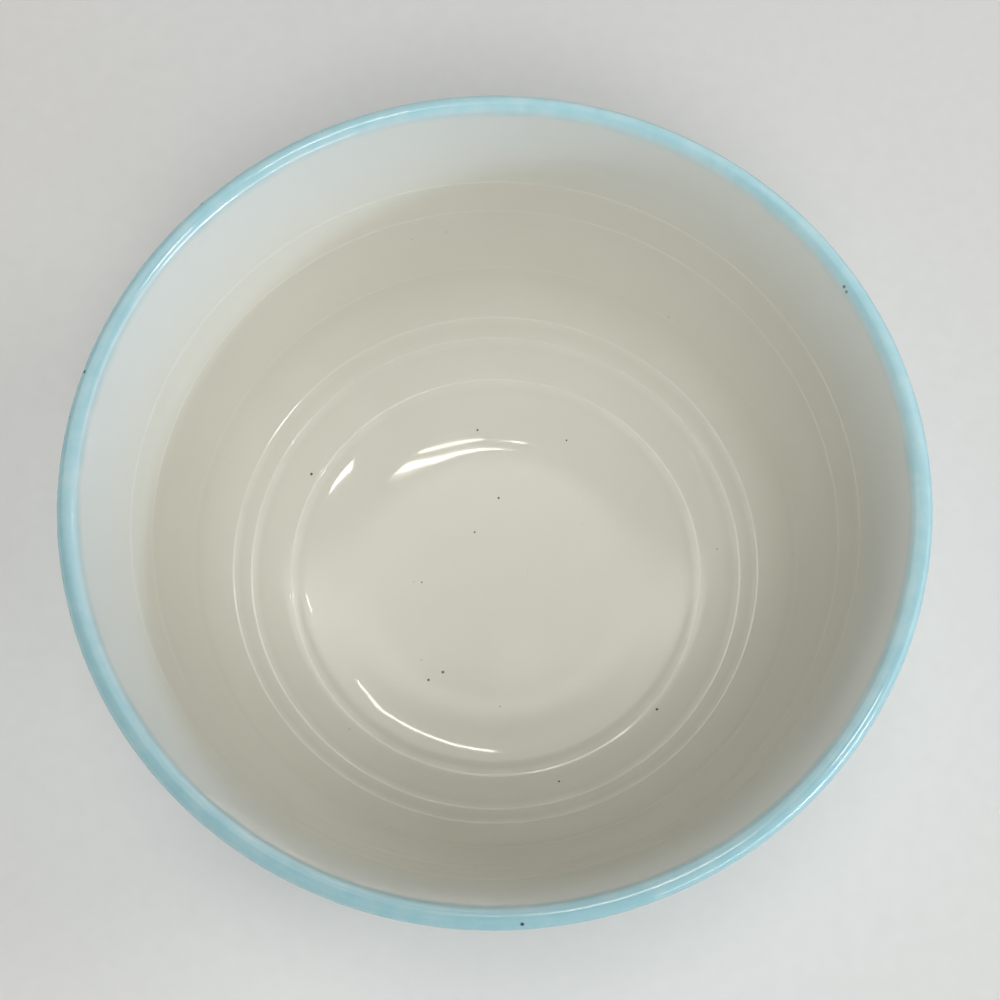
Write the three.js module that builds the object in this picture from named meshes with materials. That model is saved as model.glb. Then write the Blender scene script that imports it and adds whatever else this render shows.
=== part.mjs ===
// A ribbed ceramic bowl: one fired clay body on a turned foot ring, lined with a cream glaze,
// with a pale blue glaze outside that laps over the lip. Millimetres, +Z up, standing on z = 0.
import * as THREE from 'three';

// Overall sizes, over the glaze.
const RIM_DIAMETER = 150;
const HEIGHT = 76;
const INSIDE_DEPTH = 66.3;

// Walls.
const LIP_THICKNESS = 3.9;
const BASE_THICKNESS = 5.4;
const GLAZE_THICKNESS = 0.5;

// The inside: a flat floor, one round corner and a straight flared wall.
const FLOOR_DIAMETER = 49.2;
const CORNER_RADIUS = 35;

// Low ribs around the inside, each at a distance up the face from the floor's edge.
const INSIDE_RIB_PLACES = [18.5, 27.8, 32.6, 69.6];
const INSIDE_RIB_WIDTH = 2.4;
const INSIDE_RIB_HEIGHT = 0.35;

// Turned ribs around the outside, between the groove under the lip and the foot.
const OUTSIDE_RIBS = 8;
const OUTSIDE_RIB_HEIGHT = 0.8;

// The share of each outside rib's pitch that its crest takes.
const RIB_CREST = 0.4;

// How far the blue glaze of the lip reaches down the wall from where the lip's rounding ends.
const LIP_GLAZE_INSIDE = 1.8;
const LIP_GLAZE_OUTSIDE = 5;

// The foot ring, left bare of glaze.
const FOOT_DIAMETER = 76;
const FOOT_WIDTH = 5.5;
const FOOT_RECESS = 4;
const FOOT_CHAMFER = 0.9;

// How finely round shapes are cut.
const TURN_STEPS = 48;
const CORNER_STEPS = 6;
const LIP_STEPS = 6;

// The centres of the corner's round and of the lip's round set both walls: each wall touches both rounds.
const lipRadius = LIP_THICKNESS / 2;
const footRadius = FOOT_DIAMETER / 2;
const insideRadius = CORNER_RADIUS;
const outsideRadius = CORNER_RADIUS + BASE_THICKNESS;
const corner = new THREE.Vector2(FLOOR_DIAMETER / 2, HEIGHT - INSIDE_DEPTH + CORNER_RADIUS);
const lip = new THREE.Vector2(RIM_DIAMETER / 2 - lipRadius, HEIGHT - lipRadius);
const apart = lip.distanceTo(corner);
const lean = Math.atan2(lip.y - corner.y, lip.x - corner.x);
const insideSlope = lean + Math.asin((insideRadius + lipRadius) / apart);
const outsideSlope = lean + Math.asin((outsideRadius - lipRadius) / apart);

// A point on a round, at an angle from straight down.
function onRound(centre, radius, angle) {
  return new THREE.Vector2(centre.x + radius * Math.sin(angle), centre.y - radius * Math.cos(angle));
}

// How far up the wall its straight part runs, from the corner's round to the lip's round.
function wallLength(radius, slope) {
  const start = onRound(corner, radius, slope);
  return (lip.x - start.x) * Math.cos(slope) + (lip.y - start.y) * Math.sin(slope);
}

// A point on a face at a distance along it from straight under the corner's centre. The face is a round
// of `radius` and then a straight wall, and `out` moves the point out through the thickness of the wall.
function onFace(radius, slope, along, out) {
  const bend = radius * slope;
  if (along <= bend) {
    return onRound(corner, radius + out, along / radius);
  }
  const start = onRound(corner, radius + out, slope);
  const up = along - bend;
  return new THREE.Vector2(start.x + up * Math.cos(slope), start.y + up * Math.sin(slope));
}

const insideBend = insideRadius * insideSlope;
const insideSeam = insideBend + wallLength(insideRadius, insideSlope) - LIP_GLAZE_INSIDE;
const outsideBend = outsideRadius * outsideSlope;
const outsideSeam = outsideBend + wallLength(outsideRadius, outsideSlope) - LIP_GLAZE_OUTSIDE;

// The inside face, from the axis up to the lip glaze. `depth` is how far it lies below the glaze's surface.
function insideFace(depth) {
  const halfRib = INSIDE_RIB_WIDTH / 2;
  const places = [];
  for (let step = 0; step <= CORNER_STEPS; step += 1) {
    places.push((insideBend * step) / CORNER_STEPS);
  }
  const offRibs = (place) => INSIDE_RIB_PLACES.every((rib) => Math.abs(place - rib) > INSIDE_RIB_WIDTH);
  const clear = places.filter(offRibs);
  const foots = INSIDE_RIB_PLACES.flatMap((rib) => [rib - halfRib, rib + halfRib]);
  const along = [...clear, ...foots, ...INSIDE_RIB_PLACES, insideSeam].sort((a, b) => a - b);

  const points = [new THREE.Vector2(0, corner.y - insideRadius - depth)];
  for (const place of along) {
    const rise = INSIDE_RIB_PLACES.includes(place) ? INSIDE_RIB_HEIGHT : 0;
    points.push(onFace(insideRadius, insideSlope, place, depth - rise));
  }
  return points;
}

// The outside face, from the groove under the lip down over the ribs to the glaze line at the foot.
function footPlace(depth) {
  const angle = Math.asin((footRadius - corner.x) / (outsideRadius - depth));
  return angle * outsideRadius;
}

const ribPitch = (outsideSeam - footPlace(0)) / (OUTSIDE_RIBS + 0.5);

function groove(index, depth) {
  return onFace(outsideRadius, outsideSlope, outsideSeam - index * ribPitch, -depth - OUTSIDE_RIB_HEIGHT);
}

function outsideFace(depth) {
  const points = [groove(0, depth)];
  for (let index = 0; index < OUTSIDE_RIBS; index += 1) {
    const crest = outsideSeam - (index + 0.5) * ribPitch;
    const half = (RIB_CREST * ribPitch) / 2;
    points.push(onFace(outsideRadius, outsideSlope, crest + half, -depth));
    points.push(onFace(outsideRadius, outsideSlope, crest - half, -depth));
    points.push(groove(index + 1, depth));
  }
  points.push(onFace(outsideRadius, outsideSlope, footPlace(depth), -depth));
  return points;
}

// The lip, from the seam inside, over the round top, to the groove under it.
function lipFace(depth) {
  const points = [onFace(insideRadius, insideSlope, insideSeam, depth)];
  for (let step = 0; step <= LIP_STEPS; step += 1) {
    const angle = insideSlope + Math.PI + ((outsideSlope - insideSlope - Math.PI) * step) / LIP_STEPS;
    points.push(onRound(lip, lipRadius - depth, angle));
  }
  points.push(groove(0, depth));
  return points;
}

// The foot ring and the recess inside it, from the glaze line down and in to the axis.
function footFace() {
  const inner = footRadius - FOOT_WIDTH;
  return [
    new THREE.Vector2(footRadius, FOOT_CHAMFER),
    new THREE.Vector2(footRadius - FOOT_CHAMFER, 0),
    new THREE.Vector2(inner + FOOT_CHAMFER, 0),
    new THREE.Vector2(inner, FOOT_CHAMFER),
    new THREE.Vector2(inner, FOOT_RECESS - FOOT_CHAMFER),
    new THREE.Vector2(inner - FOOT_CHAMFER, FOOT_RECESS),
    new THREE.Vector2(0, FOOT_RECESS),
  ];
}

// A glaze layer is the face that shows and, under it, the same face of the clay, run back to the start.
function layer(face) {
  return [...face(0), ...face(GLAZE_THICKNESS).reverse()];
}

function ring(profile) {
  return [...profile, profile[0].clone()];
}

// A profile turned about +Z.
function turned(name, profile, colour, roughness) {
  const geometry = new THREE.LatheGeometry([...profile].reverse(), TURN_STEPS);
  geometry.rotateX(Math.PI / 2);
  const material = new THREE.MeshStandardMaterial({ color: colour, roughness });
  const mesh = new THREE.Mesh(geometry, material);
  mesh.name = name;
  return mesh;
}

const clayProfile = [
  ...insideFace(GLAZE_THICKNESS),
  ...lipFace(GLAZE_THICKNESS).slice(1),
  ...outsideFace(GLAZE_THICKNESS).slice(1),
  ...footFace(),
];

const bowl = new THREE.Group();
bowl.name = 'ribbed_ceramic_bowl';
bowl.add(turned('clay_body', clayProfile, '#c9b799', 0.85));
bowl.add(turned('inside_glaze', layer(insideFace), '#e4dcc6', 0.15));
bowl.add(turned('lip_glaze', ring(layer(lipFace)), '#a3cfd3', 0.15));
bowl.add(turned('outside_glaze', ring(layer(outsideFace)), '#a3cfd3', 0.15));

export default bowl;
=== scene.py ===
"""A ribbed ceramic bowl: a thrown clay body with a cream glaze inside and a pale blue glaze outside."""
import math

import bmesh
import bpy
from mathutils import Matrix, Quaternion, Vector


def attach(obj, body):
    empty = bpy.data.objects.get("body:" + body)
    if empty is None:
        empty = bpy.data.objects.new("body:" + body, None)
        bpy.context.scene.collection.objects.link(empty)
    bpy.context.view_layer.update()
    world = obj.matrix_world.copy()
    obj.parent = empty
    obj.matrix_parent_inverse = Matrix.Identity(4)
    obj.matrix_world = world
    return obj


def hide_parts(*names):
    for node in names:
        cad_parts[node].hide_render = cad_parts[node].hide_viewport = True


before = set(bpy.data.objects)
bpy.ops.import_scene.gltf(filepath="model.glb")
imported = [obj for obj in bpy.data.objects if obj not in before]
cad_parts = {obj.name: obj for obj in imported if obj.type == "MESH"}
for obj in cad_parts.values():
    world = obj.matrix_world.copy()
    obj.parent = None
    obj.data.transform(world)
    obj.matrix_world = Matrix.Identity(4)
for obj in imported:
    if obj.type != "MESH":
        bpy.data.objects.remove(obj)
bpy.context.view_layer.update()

scene = bpy.context.scene
scene.view_settings.view_transform = "Standard"


# The viewpoint: a hand-held camera a third of a metre above the table, in front of the bowl
# and looking steeply down into it.
view_data = bpy.data.cameras.new("viewpoint")
view_data.sensor_width = 36
view_data.lens = 57.6
view_data.clip_start = 0.01
viewpoint = bpy.data.objects.new("viewpoint", view_data)
viewpoint.location = (0.0009, -0.0865, 0.3350)
viewpoint.rotation_euler = (math.radians(17.61), 0, 0)
scene.collection.objects.link(viewpoint)
scene.camera = viewpoint


# The fired clay body: one bowl of buff stoneware, thrown on a wheel and turned on its foot when
# leather-hard. The ribs inside and outside are in the clay. Only the foot ring and its recess are bare.
# Sizes are in millimetres.
MM = 0.001
GLAZE = 0.5
LIP_ROUND = 1.95
FLOOR_EDGE = 24.6
INSIDE_ROUND = 35.0
OUTSIDE_ROUND = 40.4
CORNER = Vector((FLOOR_EDGE, 44.7))
LIP = Vector((72.99, 74.0))
LIP_GLAZE_INSIDE = 1.8
LIP_GLAZE_OUTSIDE = 5.0

FOOT_OUTER = 38.0
FOOT_INNER = 32.5
FOOT_RECESS = 4.0
FOOT_EDGE = 0.9

# Ribs inside: distance up the face from the floor's edge, and height. Each rises slowly and drops fast.
INSIDE_RIBS = (
    (18.5, 0.20), (27.8, 0.18), (32.6, 0.16), (46.0, 0.04), (62.0, 0.06), (69.6, 0.07),
)
HIGHEST_RIB = 0.2
RIB_RISE = 3.6
RIB_FALL = 0.45

# Ribs outside: the groove beside each takes a share of the pitch, and half a pitch is plain at the foot.
OUTSIDE_RIBS = 8
OUTSIDE_RIB_HEIGHT = 0.8
RIB_FLANK = 0.3
PLAIN_AT_FOOT = 0.5

# How finely the profile and its turn are cut.
FLOOR_STEP = 1.2
WALL_STEP = 0.8
CLEAR_OF_RIB = 0.4
LIP_STEP = 0.3
LIP_TURN = math.pi / 28
OUTSIDE_STEP = 0.4
TURN_STEPS = 192
SHARP_EDGE = math.radians(35)

# What a point outside the lip carries as its distance down the inside from the lip.
OUTSIDE_OF_LIP = -20.0

apart = (LIP - CORNER).length
lean = math.atan2(LIP.y - CORNER.y, LIP.x - CORNER.x)
INSIDE_SLOPE = lean + math.asin((INSIDE_ROUND + LIP_ROUND) / apart)
OUTSIDE_SLOPE = lean + math.asin((OUTSIDE_ROUND - LIP_ROUND) / apart)


def on_round(centre, radius, angle):
    """A point on a round, at an angle from straight down."""
    return Vector((centre.x + radius * math.sin(angle), centre.y - radius * math.cos(angle)))


def on_face(radius, slope, along, out):
    """A point at a distance along a face: a round from under the corner's centre, then a straight wall."""
    bend = radius * slope
    if along <= bend:
        return on_round(CORNER, radius + out, along / radius)
    start = on_round(CORNER, radius + out, slope)
    return start + (along - bend) * Vector((math.cos(slope), math.sin(slope)))


def wall_end(radius, slope):
    """How far along a face its straight wall meets the round of the lip."""
    start = on_round(CORNER, radius, slope)
    return radius * slope + (LIP - start).dot(Vector((math.cos(slope), math.sin(slope))))


def foot_line(depth):
    """How far along the outside its glaze ends at the foot, at a depth below the glaze's surface."""
    return math.asin((FOOT_OUTER - CORNER.x) / (OUTSIDE_ROUND - depth)) * OUTSIDE_ROUND


INSIDE_END = wall_end(INSIDE_ROUND, INSIDE_SLOPE)
INSIDE_SEAM = INSIDE_END - LIP_GLAZE_INSIDE
OUTSIDE_SEAM = wall_end(OUTSIDE_ROUND, OUTSIDE_SLOPE) - LIP_GLAZE_OUTSIDE
RIB_PITCH = (OUTSIDE_SEAM - foot_line(0)) / (OUTSIDE_RIBS + PLAIN_AT_FOOT)


def swell(distance, half):
    """A smooth swell, 1 in the middle and 0 at half its width."""
    if abs(distance) >= half:
        return 0.0
    return 0.5 + 0.5 * math.cos(math.pi * distance / half)


def steps(start, end, size):
    """Even steps of about one size, both ends included."""
    count = max(1, round(abs(end - start) / size))
    return [start + (end - start) * step / count for step in range(count + 1)]


def inside_face(depth):
    """The inside from the axis to the lip's glaze: point, relief of the ribs, distance from the lip."""
    chain = []
    for radius in steps(0, FLOOR_EDGE, FLOOR_STEP)[:-1]:
        chain.append((Vector((radius, CORNER.y - INSIDE_ROUND - depth)), 0.0, INSIDE_END))
    rise_step, fall_step = (0.25, 0.06) if depth == 0 else (1.0, 0.2)
    places = [0.0, INSIDE_SEAM]
    for rib, height in INSIDE_RIBS:
        places += steps(rib - RIB_RISE, rib, rise_step)
        places += steps(rib, rib + RIB_FALL, fall_step)[1:]
    below, above = RIB_RISE + CLEAR_OF_RIB, RIB_FALL + CLEAR_OF_RIB
    for along in steps(0, INSIDE_SEAM, WALL_STEP)[1:-1]:
        if all(not -below < along - rib < above for rib, height in INSIDE_RIBS):
            places.append(along)
    for along in sorted(places):
        rise = 0.0
        for rib, height in INSIDE_RIBS:
            rise += height * swell(along - rib, RIB_RISE if along < rib else RIB_FALL)
        point = on_face(INSIDE_ROUND, INSIDE_SLOPE, along, depth - rise)
        chain.append((point, rise / HIGHEST_RIB, INSIDE_END - along))
    return chain


def lip_face(depth):
    """The lip from the seam inside, over its round top, to the groove under it."""
    chain = []
    for along in steps(INSIDE_SEAM, INSIDE_END, LIP_STEP)[:-1]:
        point = on_face(INSIDE_ROUND, INSIDE_SLOPE, along, depth)
        chain.append((point, 1.0, INSIDE_END - along))
    for angle in steps(INSIDE_SLOPE + math.pi, OUTSIDE_SLOPE, LIP_TURN):
        turned_by = INSIDE_SLOPE + math.pi - angle
        chain.append((on_round(LIP, LIP_ROUND - depth, angle), 1.0, -LIP_ROUND * turned_by))
    for along in steps(OUTSIDE_SEAM + LIP_GLAZE_OUTSIDE, OUTSIDE_SEAM, LIP_STEP)[1:]:
        groove = swell(along - OUTSIDE_SEAM, RIB_FLANK * RIB_PITCH)
        point = on_face(OUTSIDE_ROUND, OUTSIDE_SLOPE, along, -depth - OUTSIDE_RIB_HEIGHT * groove)
        chain.append((point, 1 - groove, OUTSIDE_OF_LIP))
    return chain


def outside_face(depth):
    """The outside from the groove under the lip, down over the ribs, to the glaze line at the foot."""
    chain = []
    below_ribs = OUTSIDE_SEAM - (OUTSIDE_RIBS + PLAIN_AT_FOOT / 2) * RIB_PITCH
    for along in steps(OUTSIDE_SEAM, foot_line(depth), OUTSIDE_STEP):
        to_groove = (OUTSIDE_SEAM - along) % RIB_PITCH
        to_groove = min(to_groove, RIB_PITCH - to_groove)
        if along < below_ribs:
            to_groove = RIB_PITCH
        groove = swell(to_groove, RIB_FLANK * RIB_PITCH)
        point = on_face(OUTSIDE_ROUND, OUTSIDE_SLOPE, along, -depth - OUTSIDE_RIB_HEIGHT * groove)
        chain.append((point, 1 - groove, OUTSIDE_OF_LIP))
    return chain


def foot_face():
    """The bare foot ring and its recess, from the glaze line down and in to the axis."""
    corners = (
        (FOOT_OUTER, FOOT_EDGE), (FOOT_OUTER - FOOT_EDGE, 0), (FOOT_INNER + FOOT_EDGE, 0),
        (FOOT_INNER, FOOT_EDGE), (FOOT_INNER, FOOT_RECESS - FOOT_EDGE),
        (FOOT_INNER - FOOT_EDGE, FOOT_RECESS), (0, FOOT_RECESS),
    )
    return [(Vector(corner), 1.0, OUTSIDE_OF_LIP) for corner in corners]


def turned(name, chain, closed):
    """A profile turned once about +Z, carrying the ribs' relief and the distance from the lip."""
    shape = bmesh.new()
    relief = shape.verts.layers.float.new("relief")
    from_lip = shape.verts.layers.float.new("from_lip")
    verts = []
    for point, rise, distance in chain:
        vert = shape.verts.new((point.x * MM, 0, point.y * MM))
        vert[relief] = rise
        vert[from_lip] = distance
        verts.append(vert)
    edges = [shape.edges.new(pair) for pair in zip(verts, verts[1:])]
    if closed:
        edges.append(shape.edges.new((verts[-1], verts[0])))
    bmesh.ops.spin(
        shape, geom=verts + edges, cent=(0, 0, 0), axis=(0, 0, 1), angle=math.tau,
        steps=TURN_STEPS, use_merge=True,
    )
    bmesh.ops.remove_doubles(shape, verts=shape.verts, dist=0.001 * MM)
    bmesh.ops.recalc_face_normals(shape, faces=shape.faces)
    for face in shape.faces:
        face.smooth = True
    for edge in shape.edges:
        edge.smooth = edge.calc_face_angle(0) < SHARP_EDGE
    mesh = bpy.data.meshes.new(name)
    shape.to_mesh(mesh)
    shape.free()
    piece = bpy.data.objects.new(name, mesh)
    scene.collection.objects.link(piece)
    return piece


def linear(colour):
    """An sRGB hex colour as linear RGBA."""
    parts = [int(colour[place:place + 2], 16) / 255 for place in (1, 3, 5)]
    return [
        part / 12.92 if part <= 0.04045 else ((part + 0.055) / 1.055) ** 2.4 for part in parts
    ] + [1.0]


def add(tree, kind, inputs, **settings):
    """A node with its settings, its input values and its links."""
    made = tree.nodes.new(kind)
    for name, value in settings.items():
        setattr(made, name, value)
    for key, value in inputs.items():
        if isinstance(value, bpy.types.NodeSocket):
            tree.links.new(value, made.inputs[key])
        else:
            made.inputs[key].default_value = value
    return made


# A Mix node's colour sockets by number: how much, the colour under, the colour over, and what comes out.
SHARE, UNDER, OVER, MIXED = 0, 6, 7, 2


def material(name):
    """An empty node material and its tree."""
    made = bpy.data.materials.new(name)
    made.use_nodes = True
    made.node_tree.nodes.clear()
    return made, made.node_tree


clay_body = turned(
    "stoneware_body",
    inside_face(GLAZE) + lip_face(GLAZE)[1:] + outside_face(GLAZE)[1:] + foot_face(),
    False,
)

# Buff stoneware, fired and left bare: matt and slightly rough, with a sandy grain drawn at 0.6 mm so that
# it shows, pale and toasted patches some 15 mm across and a scatter of small iron spots.
stoneware, tree = material("bare_buff_stoneware")
place = add(tree, "ShaderNodeTexCoord", {}).outputs["Object"]
patches = add(tree, "ShaderNodeTexNoise", {"Vector": place, "Scale": 1 / 0.015, "Detail": 3.0})
grain = add(
    tree, "ShaderNodeTexNoise",
    {"Vector": place, "Scale": 1 / 0.0006, "Detail": 4.0, "Roughness": 0.7},
)
spots = add(tree, "ShaderNodeTexVoronoi", {"Vector": place, "Scale": 1 / 0.0025})
toast = add(
    tree, "ShaderNodeMix",
    {SHARE: patches.outputs["Fac"], UNDER: linear("#bda684"), OVER: linear("#d6c6a8")},
    data_type="RGBA",
)
sand = add(
    tree, "ShaderNodeMapRange",
    {
        "Value": grain.outputs["Fac"], "From Min": 0.35, "From Max": 0.65,
        "To Min": 0.0, "To Max": 0.35,
    },
)
sandy = add(
    tree, "ShaderNodeMix",
    {SHARE: sand.outputs["Result"], UNDER: toast.outputs[MIXED], OVER: linear("#a68d6a")},
    data_type="RGBA",
)
spot = add(
    tree, "ShaderNodeMapRange",
    {
        "Value": spots.outputs["Distance"], "From Min": 0.08, "From Max": 0.13,
        "To Min": 0.7, "To Max": 0.0,
    },
)
spotted = add(
    tree, "ShaderNodeMix",
    {SHARE: spot.outputs["Result"], UNDER: sandy.outputs[MIXED], OVER: linear("#5d4632")},
    data_type="RGBA",
)
grit = add(
    tree, "ShaderNodeBump",
    {"Height": grain.outputs["Fac"], "Strength": 0.5, "Distance": 0.15 * MM},
)
shader = add(
    tree, "ShaderNodeBsdfPrincipled",
    {
        "Base Color": spotted.outputs[MIXED], "Roughness": 0.85, "IOR": 1.5,
        "Normal": grit.outputs["Normal"],
    },
)
add(tree, "ShaderNodeOutputMaterial", {"Surface": shader.outputs["BSDF"]})
clay_body.data.materials.append(stoneware)
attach(clay_body, "root")
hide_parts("clay_body")


# The inside glaze: half a millimetre of glossy cream glaze, poured in and swilled round, then fired.
# It follows the throwing ribs. Near the lip it is painted paler and cooler: painted light standing in for
# a cool window's light on the upper wall, with a little mist of the blue sprayed over the rim.
def layer(face):
    """A glaze layer: the face that shows, and under it the same face of the clay, run back."""
    return face(0) + face(GLAZE)[::-1]


def spots_at(tree, place, spots):
    """Small round spots: 1 inside any of them, from their centres and radii in millimetres."""
    mask = 0.0
    for centre, radius in spots:
        away = add(tree, "ShaderNodeVectorMath", {0: place, 1: centre * MM}, operation="DISTANCE")
        spot = add(
            tree, "ShaderNodeMapRange",
            {
                "Value": away.outputs["Value"],
                "From Min": 0.6 * radius * MM, "From Max": 1.4 * radius * MM,
                "To Min": 1.0, "To Max": 0.0,
            },
            interpolation_type="SMOOTHSTEP",
        )
        either = add(tree, "ShaderNodeMath", {0: mask, 1: spot.outputs["Result"]}, operation="MAXIMUM")
        mask = either.outputs[0]
    return mask


def inside_point(out, azimuth):
    """A point of the inside face, at a distance out from the middle along it."""
    flat = Vector((out, CORNER.y - INSIDE_ROUND))
    if out > FLOOR_EDGE:
        flat = on_face(INSIDE_ROUND, INSIDE_SLOPE, out - FLOOR_EDGE, 0)
    turn = math.radians(azimuth)
    return Vector((flat.x * math.cos(turn), flat.x * math.sin(turn), flat.y))


# Iron specks that show inside: distance out along the face, azimuth and radius.
IRON_SPECKS = (
    (23.2, -118, 0.28), (26.1, -122, 0.26), (17.2, 88, 0.24), (10.6, 115, 0.20), (45.1, 152, 0.28),
    (44.8, -42, 0.28), (32.6, 97, 0.22), (33.6, 63, 0.18), (15.6, -175, 0.16), (47.1, -74, 0.22),
)


def cream_colour(tree, place):
    """The cream's colour: cloudy over 20 mm, painted paler and cooler near the lip as painted light,
    painted highlights on the ribs' crests, with iron specks.
    """
    clouds = add(tree, "ShaderNodeTexNoise", {"Vector": place, "Scale": 1 / 0.02, "Detail": 3.0})
    cloudy = add(
        tree, "ShaderNodeMix",
        {SHARE: clouds.outputs["Fac"], UNDER: linear("#d5d3c6"), OVER: linear("#dad8cc")},
        data_type="RGBA",
    )
    from_lip = add(tree, "ShaderNodeAttribute", {}, attribute_name="from_lip").outputs["Fac"]
    # Painted light: the upper wall is painted paler and cooler for a cool window's light there, with a
    # little blue mist from the rim.
    upper_lit_band = add(
        tree, "ShaderNodeMapRange",
        {"Value": from_lip, "From Min": 2.0, "From Max": 24.0, "To Min": 1.0, "To Max": 0.0},
        interpolation_type="SMOOTHSTEP",
    )
    lit_and_misted = add(
        tree, "ShaderNodeMix",
        {SHARE: upper_lit_band.outputs["Result"], UNDER: cloudy.outputs[MIXED], OVER: linear("#d9ddd8")},
        data_type="RGBA",
    )
    # Painted highlights: the ribs' crests are painted pale as glints, broken in patches, strongest on the
    # near side and faint on the far side.
    relief = add(tree, "ShaderNodeAttribute", {}, attribute_name="relief").outputs["Fac"]
    crest_glint = add(
        tree, "ShaderNodeMapRange",
        {"Value": relief, "From Min": 0.5, "From Max": 0.95, "To Min": 0.0, "To Max": 0.5},
    )
    glint_breaks = add(tree, "ShaderNodeTexNoise", {"Vector": place, "Scale": 1 / 0.009, "Detail": 3.0})
    glint_patches = add(
        tree, "ShaderNodeMapRange",
        {
            "Value": glint_breaks.outputs["Fac"], "From Min": 0.38, "From Max": 0.6,
            "To Min": 0.45, "To Max": 1.0,
        },
    )
    below_lip = add(
        tree, "ShaderNodeMapRange",
        {"Value": from_lip, "From Min": 3.0, "From Max": 6.0, "To Min": 0.0, "To Max": 1.0},
    )
    where = add(tree, "ShaderNodeSeparateXYZ", {"Vector": place})
    glint_near_side = add(
        tree, "ShaderNodeMapRange",
        {
            "Value": where.outputs["Y"], "From Min": 0.008, "From Max": 0.04,
            "To Min": 1.0, "To Max": 0.3,
        },
    )
    glint_share = add(
        tree, "ShaderNodeMath",
        {0: glint_patches.outputs["Result"], 1: glint_near_side.outputs["Result"]}, operation="MULTIPLY",
    )
    broken = add(
        tree, "ShaderNodeMath", {0: crest_glint.outputs["Result"], 1: glint_share.outputs[0]}, operation="MULTIPLY",
    )
    painted_glint = add(
        tree, "ShaderNodeMath",
        {0: broken.outputs[0], 1: below_lip.outputs["Result"]}, operation="MULTIPLY",
    )
    glinted = add(
        tree, "ShaderNodeMix",
        {SHARE: painted_glint.outputs[0], UNDER: lit_and_misted.outputs[MIXED], OVER: linear("#eeece4")},
        data_type="RGBA",
    )
    faint = add(tree, "ShaderNodeTexVoronoi", {"Vector": place, "Scale": 1 / 0.011})
    fleck = add(
        tree, "ShaderNodeMapRange",
        {
            "Value": faint.outputs["Distance"], "From Min": 0.01, "From Max": 0.025,
            "To Min": 0.4, "To Max": 0.0,
        },
    )
    specks = spots_at(
        tree, place, [(inside_point(out, turn), radius) for out, turn, radius in IRON_SPECKS],
    )
    speckled = add(
        tree, "ShaderNodeMath", {0: fleck.outputs["Result"], 1: specks}, operation="MAXIMUM",
    )
    return add(
        tree, "ShaderNodeMix",
        {SHARE: speckled.outputs[0], UNDER: glinted.outputs[MIXED], OVER: linear("#4a4236")},
        data_type="RGBA",
    ).outputs[MIXED]


# Pits in the lip's glaze, where the dark clay shows: azimuth, and angle outward from the lip's top.
LIP_PITS = ((29.1, -52), (29.9, -46), (135.5, 48), (164.9, 40), (170.9, 65), (-86.6, 36))
LIP_PIT_RADIUS = 0.3

# The blue is painted lighter towards one side of the bowl and darker towards the other, a painted shade
# for light falling unevenly on the lip: which way is lighter, and the rim's reach.
PAINTED_LIGHT_SIDE = (0.42, 0.91, 0.0)
RIM_REACH = 0.074


def lip_point(azimuth, angle):
    """A point on the round of the lip."""
    flat = on_round(LIP, LIP_ROUND, math.pi - math.radians(angle))
    turn = math.radians(azimuth)
    return Vector((flat.x * math.cos(turn), flat.x * math.sin(turn), flat.y))


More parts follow.
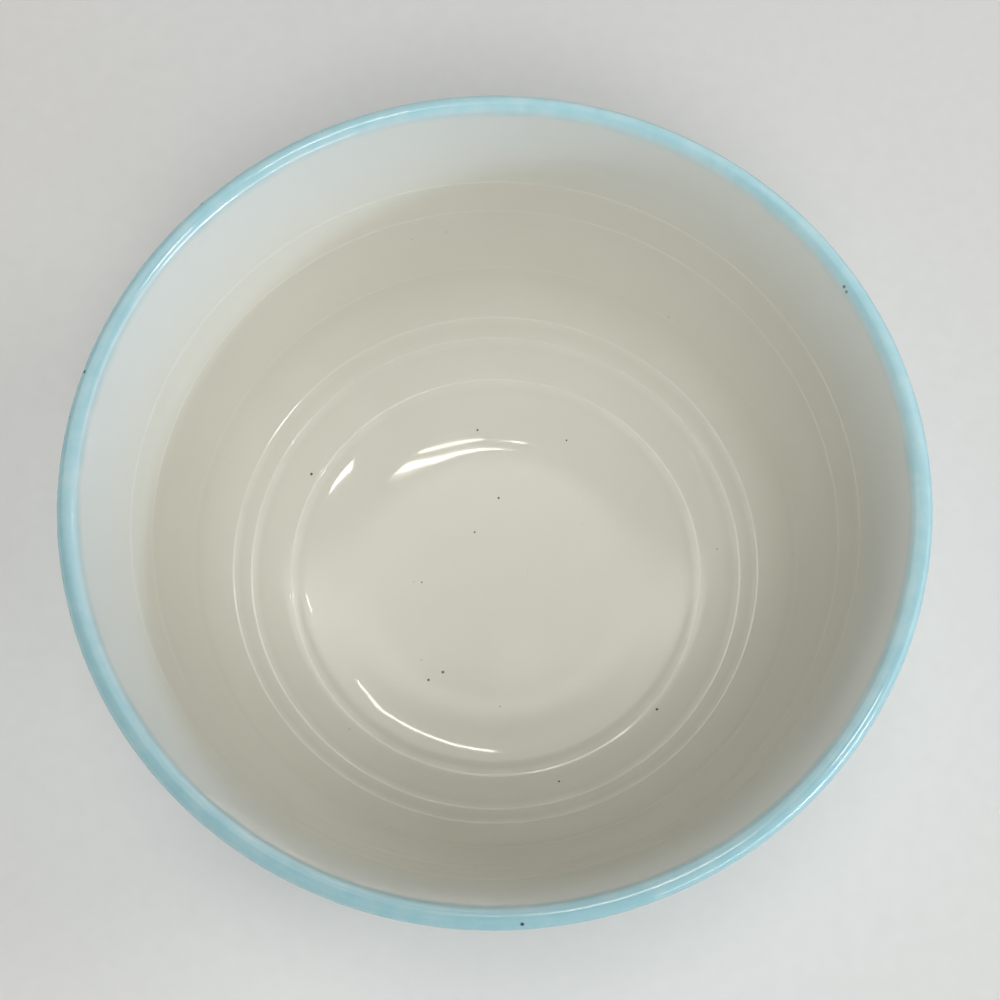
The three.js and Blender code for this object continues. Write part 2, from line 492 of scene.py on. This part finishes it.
def blue_colour(tree, place):
    """The blue's colour: deep where it pools in the grooves, broken to cream on the crests, in runs, with
    painted shade darker towards one side.
    """
    relief = add(tree, "ShaderNodeAttribute", {}, attribute_name="relief").outputs["Fac"]
    clouds = add(tree, "ShaderNodeTexNoise", {"Vector": place, "Scale": 1 / 0.012, "Detail": 4.0})
    long = add(tree, "ShaderNodeMapping", {"Vector": place, "Scale": (1.0, 1.0, 0.15)})
    runs = add(
        tree, "ShaderNodeTexNoise",
        {"Vector": long.outputs["Vector"], "Scale": 1 / 0.0035, "Detail": 3.0},
    )
    run = add(
        tree, "ShaderNodeMapRange",
        {
            "Value": runs.outputs["Fac"], "From Min": 0.3, "From Max": 0.7,
            "To Min": -0.22, "To Max": 0.22,
        },
    )
    uneven = add(tree, "ShaderNodeMath", {0: relief, 1: run.outputs["Result"]}, operation="ADD")
    pooled = add(
        tree, "ShaderNodeMapRange",
        {"Value": uneven.outputs[0], "From Min": 0.0, "From Max": 1.0, "To Min": 0.0, "To Max": 1.0},
        interpolation_type="SMOOTHSTEP",
    )
    depth = add(
        tree, "ShaderNodeMix",
        {SHARE: pooled.outputs["Result"], UNDER: linear("#7faeb7"), OVER: linear("#9fcbd2")},
        data_type="RGBA",
    )
    broken = add(
        tree, "ShaderNodeMapRange",
        {"Value": uneven.outputs[0], "From Min": 0.95, "From Max": 1.25, "To Min": 0.0, "To Max": 0.3},
    )
    crest = add(
        tree, "ShaderNodeMix",
        {SHARE: broken.outputs["Result"], UNDER: depth.outputs[MIXED], OVER: linear("#cfe0dc")},
        data_type="RGBA",
    )
    cloud = add(
        tree, "ShaderNodeMapRange",
        {
            "Value": clouds.outputs["Fac"], "From Min": 0.35, "From Max": 0.7,
            "To Min": 0.0, "To Max": 0.3,
        },
    )
    cloudy = add(
        tree, "ShaderNodeMix",
        {SHARE: cloud.outputs["Result"], UNDER: crest.outputs[MIXED], OVER: linear("#acd2d7")},
        data_type="RGBA",
    )
    # Painted shade: the blue is scaled lighter towards one side and darker towards the other.
    across = add(tree, "ShaderNodeVectorMath", {0: place, 1: PAINTED_LIGHT_SIDE}, operation="DOT_PRODUCT")
    painted_side_shade = add(
        tree, "ShaderNodeMapRange",
        {
            "Value": across.outputs["Value"], "From Min": -RIM_REACH, "From Max": RIM_REACH,
            "To Min": 0.86, "To Max": 1.12,
        },
    )
    side_shaded = add(
        tree, "ShaderNodeVectorMath",
        {0: cloudy.outputs[MIXED], "Scale": painted_side_shade.outputs["Result"]}, operation="SCALE",
    )
    faint = add(tree, "ShaderNodeTexVoronoi", {"Vector": place, "Scale": 1 / 0.012})
    fleck = add(
        tree, "ShaderNodeMapRange",
        {
            "Value": faint.outputs["Distance"], "From Min": 0.012, "From Max": 0.035,
            "To Min": 0.6, "To Max": 0.0,
        },
    )
    pits = spots_at(
        tree, place, [(lip_point(azimuth, angle), LIP_PIT_RADIUS) for azimuth, angle in LIP_PITS],
    )
    marked = add(tree, "ShaderNodeMath", {0: fleck.outputs["Result"], 1: pits}, operation="MAXIMUM")
    return add(
        tree, "ShaderNodeMix",
        {SHARE: marked.outputs[0], UNDER: side_shaded.outputs[0], OVER: linear("#36403e")},
        data_type="RGBA",
    ).outputs[MIXED]


def sprayed_edge(tree, place):
    """How much of the blue covers the cream: all of it outside, fading over the lip's inner rounding."""
    from_lip = add(tree, "ShaderNodeAttribute", {}, attribute_name="from_lip").outputs["Fac"]
    drift = add(tree, "ShaderNodeTexNoise", {"Vector": place, "Scale": 1 / 0.009, "Detail": 2.0})
    shift = add(
        tree, "ShaderNodeMapRange",
        {
            "Value": drift.outputs["Fac"], "From Min": 0.3, "From Max": 0.7,
            "To Min": -0.35, "To Max": 0.35,
        },
    )
    moved = add(tree, "ShaderNodeMath", {0: from_lip, 1: shift.outputs["Result"]}, operation="ADD")
    edge = add(
        tree, "ShaderNodeMapRange",
        {"Value": moved.outputs[0], "From Min": -2.0, "From Max": 1.4, "To Min": 1.0, "To Max": 0.0},
        interpolation_type="SMOOTHSTEP",
    )
    return edge.outputs["Result"]


def glossy_glaze(tree, place, colour):
    """A clear glossy glass skin: faintly wavy over 12 mm, with a fine orange peel under 2 mm across."""
    waves = add(tree, "ShaderNodeTexNoise", {"Vector": place, "Scale": 1 / 0.012, "Detail": 1.0})
    peel = add(tree, "ShaderNodeTexNoise", {"Vector": place, "Scale": 1 / 0.0018, "Detail": 2.0})
    wavy = add(
        tree, "ShaderNodeBump",
        {"Height": waves.outputs["Fac"], "Strength": 0.6, "Distance": 0.12 * MM},
    )
    peeled = add(
        tree, "ShaderNodeBump",
        {
            "Height": peel.outputs["Fac"], "Strength": 0.35, "Distance": 0.01 * MM,
            "Normal": wavy.outputs["Normal"],
        },
    )
    bloom = add(
        tree, "ShaderNodeMapRange",
        {
            "Value": waves.outputs["Fac"], "From Min": 0.3, "From Max": 0.7,
            "To Min": 0.05, "To Max": 0.09,
        },
    )
    shader = add(
        tree, "ShaderNodeBsdfPrincipled",
        {
            "Base Color": colour, "Roughness": bloom.outputs["Result"], "IOR": 1.52,
            "Normal": peeled.outputs["Normal"],
        },
    )
    add(tree, "ShaderNodeOutputMaterial", {"Surface": shader.outputs["BSDF"]})


cream_layer = turned("cream_glaze_lining", layer(inside_face), False)

# Glossy cream glaze over pale clay: a soft warm white under clear glass, so lamps show as crisp lines and
# the body looks faintly cloudy.
cream_glaze, tree = material("glossy_cream_glaze")
place = add(tree, "ShaderNodeTexCoord", {}).outputs["Object"]
cream = add(
    tree, "ShaderNodeMix",
    {
        SHARE: sprayed_edge(tree, place), UNDER: cream_colour(tree, place),
        OVER: blue_colour(tree, place),
    },
    data_type="RGBA",
)
glossy_glaze(tree, place, cream.outputs[MIXED])
cream_layer.data.materials.append(cream_glaze)
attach(cream_layer, "root")
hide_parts("inside_glaze")


# The lip glaze: the pale blue of the outside, sprayed over the round lip until it fades into the cream.
# It is the same half millimetre thick, and ends outside in the groove under the lip.
lip_layer = turned("blue_glaze_lip", layer(lip_face), True)

# Pale blue glaze at its soft edge: full colour over the lip's crest, misting out over the cream inside.
lip_glaze, tree = material("pale_blue_glaze_fading_to_cream")
place = add(tree, "ShaderNodeTexCoord", {}).outputs["Object"]
fading = add(
    tree, "ShaderNodeMix",
    {
        SHARE: sprayed_edge(tree, place), UNDER: cream_colour(tree, place),
        OVER: blue_colour(tree, place),
    },
    data_type="RGBA",
)
glossy_glaze(tree, place, fading.outputs[MIXED])
lip_layer.data.materials.append(lip_glaze)
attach(lip_layer, "root")
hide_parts("lip_glaze")


# The outside glaze: pale blue, sprayed on while the bowl turned, from the groove under the lip over eight
# turned ribs down to a wiped line at the foot.
outside_layer = turned("blue_glaze_outside", layer(outside_face), True)

# Pale blue glaze over ribs: it runs off the crests and pools in the grooves, so each rib is drawn by a
# paler crest and a deeper line.
outside_glaze, tree = material("pale_blue_glaze_over_ribs")
place = add(tree, "ShaderNodeTexCoord", {}).outputs["Object"]
glossy_glaze(tree, place, blue_colour(tree, place))
outside_layer.data.materials.append(outside_glaze)
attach(outside_layer, "root")
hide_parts("outside_glaze")


# The studio: a plain pale floor under the bowl, and a pale room all round.
FLOOR_RADIUS = 4

ground = bmesh.new()
bmesh.ops.create_circle(ground, cap_ends=True, cap_tris=False, segments=96, radius=FLOOR_RADIUS)
floor_mesh = bpy.data.meshes.new("studio_floor")
ground.to_mesh(floor_mesh)
ground.free()
studio_floor = bpy.data.objects.new("studio_floor", floor_mesh)
scene.collection.objects.link(studio_floor)

# Matt pale paper, faintly fibrous, that runs up into the pale room behind without a line.
paper, tree = material("matt_pale_paper")
place = add(tree, "ShaderNodeTexCoord", {}).outputs["Object"]
fibres = add(tree, "ShaderNodeTexNoise", {"Vector": place, "Scale": 1 / 0.004, "Detail": 3.0})
pale = add(
    tree, "ShaderNodeMix",
    {SHARE: fibres.outputs["Fac"], UNDER: linear("#e2e0dc"), OVER: linear("#e8e6e2")},
    data_type="RGBA",
)
matt = add(
    tree, "ShaderNodeBsdfPrincipled",
    {"Base Color": pale.outputs[MIXED], "Roughness": 0.9, "Specular IOR Level": 0.0},
)
sweep = add(tree, "ShaderNodeEmission", {"Color": linear("#e3e3e1"), "Strength": 1.0})
away = add(tree, "ShaderNodeVectorMath", {0: place}, operation="LENGTH")
far = add(
    tree, "ShaderNodeMapRange",
    {"Value": away.outputs["Value"], "From Min": 0.1, "From Max": 0.9, "To Min": 0.0, "To Max": 1.0},
    interpolation_type="SMOOTHSTEP",
)
rays = add(tree, "ShaderNodeLightPath", {})
seen = add(
    tree, "ShaderNodeMath",
    {0: rays.outputs["Is Camera Ray"], 1: rays.outputs["Is Glossy Ray"]}, operation="MAXIMUM",
)
shown = add(
    tree, "ShaderNodeMath", {0: far.outputs["Result"], 1: seen.outputs[0]}, operation="MULTIPLY",
)
swept = add(
    tree, "ShaderNodeMixShader",
    {0: shown.outputs[0], 1: matt.outputs["BSDF"], 2: sweep.outputs["Emission"]},
)
add(tree, "ShaderNodeOutputMaterial", {"Surface": swept.outputs["Shader"]})
floor_mesh.materials.append(paper)

# The room: pale to the eye and a weak even fill. In reflections it has a bright strip of ceiling and a
# bright wall behind the bowl, and a bright side to the right, and is dim elsewhere.
SEEN_ROOM = 0.86
FILL = 0.12
DIM_ROOM = 0.25
STRIP_PLACE = 0.36
RIGHT_SIDE = (0.9, 0.43, 0.0)

# A Mix node's sockets by number where it mixes values and not colours: one value, and the other.
ONE_VALUE, OTHER_VALUE = 2, 3

room = bpy.data.worlds.new("pale_room")
scene.world = room
room.use_nodes = True
tree = room.node_tree
tree.nodes.clear()
rays = add(tree, "ShaderNodeLightPath", {})
toward = add(tree, "ShaderNodeTexCoord", {}).outputs["Generated"]
parts = add(tree, "ShaderNodeSeparateXYZ", {"Vector": toward})
from_strip = add(
    tree, "ShaderNodeMath", {0: parts.outputs["Y"], 1: STRIP_PLACE}, operation="SUBTRACT",
)
off_strip = add(tree, "ShaderNodeMath", {0: from_strip.outputs[0]}, operation="ABSOLUTE")
strip = add(
    tree, "ShaderNodeMapRange",
    {"Value": off_strip.outputs[0], "From Min": 0.0, "From Max": 0.28, "To Min": 2.2, "To Max": 0.0},
    interpolation_type="SMOOTHSTEP",
)
above = add(
    tree, "ShaderNodeMapRange",
    {"Value": parts.outputs["Z"], "From Min": 0.3, "From Max": 1.0, "To Min": 0.0, "To Max": 1.0},
    interpolation_type="SMOOTHSTEP",
)
ceiling = add(
    tree, "ShaderNodeMath",
    {0: strip.outputs["Result"], 1: above.outputs["Result"], 2: DIM_ROOM}, operation="MULTIPLY_ADD",
)
behind = add(
    tree, "ShaderNodeMapRange",
    {"Value": parts.outputs["Y"], "From Min": 0.1, "From Max": 0.5, "To Min": 0.0, "To Max": 1.6},
    interpolation_type="SMOOTHSTEP",
)
over_table = add(
    tree, "ShaderNodeMapRange",
    {"Value": parts.outputs["Z"], "From Min": 0.25, "From Max": 0.5, "To Min": 0.0, "To Max": 1.0},
    interpolation_type="SMOOTHSTEP",
)
under_ceiling = add(
    tree, "ShaderNodeMapRange",
    {"Value": parts.outputs["Z"], "From Min": 0.68, "From Max": 0.92, "To Min": 1.0, "To Max": 0.0},
    interpolation_type="SMOOTHSTEP",
)
back_wall = add(
    tree, "ShaderNodeMath",
    {0: over_table.outputs["Result"], 1: under_ceiling.outputs["Result"]}, operation="MULTIPLY",
)
back_lit = add(
    tree, "ShaderNodeMath",
    {0: behind.outputs["Result"], 1: back_wall.outputs[0], 2: ceiling.outputs[0]},
    operation="MULTIPLY_ADD",
)
rightward = add(tree, "ShaderNodeVectorMath", {0: toward, 1: RIGHT_SIDE}, operation="DOT_PRODUCT")
bright_side = add(
    tree, "ShaderNodeMapRange",
    {
        "Value": rightward.outputs["Value"], "From Min": -0.1, "From Max": 0.8,
        "To Min": 0.0, "To Max": 2.2,
    },
    interpolation_type="SMOOTHSTEP",
)
low = add(
    tree, "ShaderNodeMapRange",
    {"Value": parts.outputs["Z"], "From Min": 0.3, "From Max": 0.5, "To Min": 1.0, "To Max": 0.0},
    interpolation_type="SMOOTHSTEP",
)
mirrored = add(
    tree, "ShaderNodeMath",
    {0: bright_side.outputs["Result"], 1: low.outputs["Result"], 2: back_lit.outputs[0]},
    operation="MULTIPLY_ADD",
)
lit = add(
    tree, "ShaderNodeMix",
    {SHARE: rays.outputs["Is Glossy Ray"], ONE_VALUE: FILL, OTHER_VALUE: mirrored.outputs[0]},
    data_type="FLOAT",
)
strength = add(
    tree, "ShaderNodeMix",
    {SHARE: rays.outputs["Is Camera Ray"], ONE_VALUE: lit.outputs[0], OTHER_VALUE: SEEN_ROOM},
    data_type="FLOAT",
)
backdrop = add(
    tree, "ShaderNodeBackground", {"Color": linear("#f4f4f2"), "Strength": strength.outputs[0]},
)
add(tree, "ShaderNodeOutputWorld", {"Surface": backdrop.outputs["Background"]})

# Lamps point at a place on the bowl's axis, near the height of its lip.
LAMPS_AIM = Vector((0, 0, 0.06))
WHITE = "#ffffff"
WARM_TUBE = "#fff8ee"
WARM_BACK = "#fffaf2"


def lamp(name, azimuth, elevation, away, size, power, colour, lights=False, shines=False, spin=0):
    """A soft rectangular lamp aimed at the bowl. It lights surfaces, or is mirrored in them, or both."""
    turn, lift = math.radians(azimuth), math.radians(elevation)
    toward = Vector((
        math.cos(turn) * math.cos(lift), math.sin(turn) * math.cos(lift), math.sin(lift),
    ))
    data = bpy.data.lights.new(name, "AREA")
    data.shape = "RECTANGLE"
    data.size, data.size_y = size
    data.energy = power
    data.color = linear(colour)[:3]
    made = bpy.data.objects.new(name, data)
    made.location = LAMPS_AIM + toward * away
    facing = toward.to_track_quat("Z", "Y") @ Quaternion((0, 0, 1), math.radians(spin))
    made.rotation_euler = facing.to_euler()
    made.visible_camera = False
    made.visible_diffuse = lights
    made.visible_glossy = shines
    scene.collection.objects.link(made)


# Soft light from overhead, the front and the right, a low cool window, and low fill on the far outside.
lamp("overhead_softbox", 0, 90, 1.6, (0.6, 0.6), 6.6, WHITE, lights=True)
lamp("front_softbox", -85, 58, 1.6, (0.5, 0.5), 9.2, WHITE, lights=True)
lamp("front_low_softbox", -80, 40, 1.6, (0.6, 0.6), 2.2, WHITE, lights=True)
lamp("right_softbox", 5, 28, 1.6, (0.5, 0.5), 5.8, WHITE, lights=True)
lamp("low_window", -28, 10.7, 1.5, (0.5, 0.05), 6.2, "#d3e6ff", lights=True, shines=True)
lamp("left_low_softbox", 195, 2.5, 1.6, (0.9, 0.2), 4.0, WHITE, lights=True)
lamp("back_low_softbox", 115, 2.5, 1.6, (0.9, 0.2), 4.0, WHITE, lights=True)

# What the glaze mirrors: two tubes overhead, each with a short end, a long tube behind, a lamp at the
# side, a small one beyond it and the low edge of a window in front.
lamp("overhead_tube", 46.6, 81.7, 1.6, (0.30, 0.05), 1.0, WARM_TUBE, shines=True, spin=9)
lamp("overhead_tube_end", 84, 81, 1.6, (0.08, 0.03), 0.16, WARM_TUBE, shines=True, spin=-2)
lamp("overhead_tube_front", 10.3, 84.6, 1.6, (0.215, 0.04), 0.55, WARM_TUBE, shines=True, spin=60)
lamp("overhead_tube_front_end", 124, 86.3, 1.6, (0.05, 0.03), 0.1, WARM_TUBE, shines=True, spin=126)
lamp("back_tube", 77.1, 41.4, 1.7, (0.63, 0.03), 1.5, WARM_BACK, shines=True, spin=-11)
lamp("back_tube_end", 60.8, 44.6, 1.7, (0.17, 0.028), 0.38, WARM_BACK, shines=True, spin=-34)
lamp("side_lamp", -11, 53.7, 1.6, (0.24, 0.14), 2.6, WHITE, shines=True, spin=127)
lamp("far_lamp", 30.5, 41, 1.6, (0.2, 0.03), 0.4, WHITE, shines=True, spin=41)
lamp("window_edge", -48, 12, 1.5, (0.8, 0.05), 3.4, "#f2f8ff", shines=True)
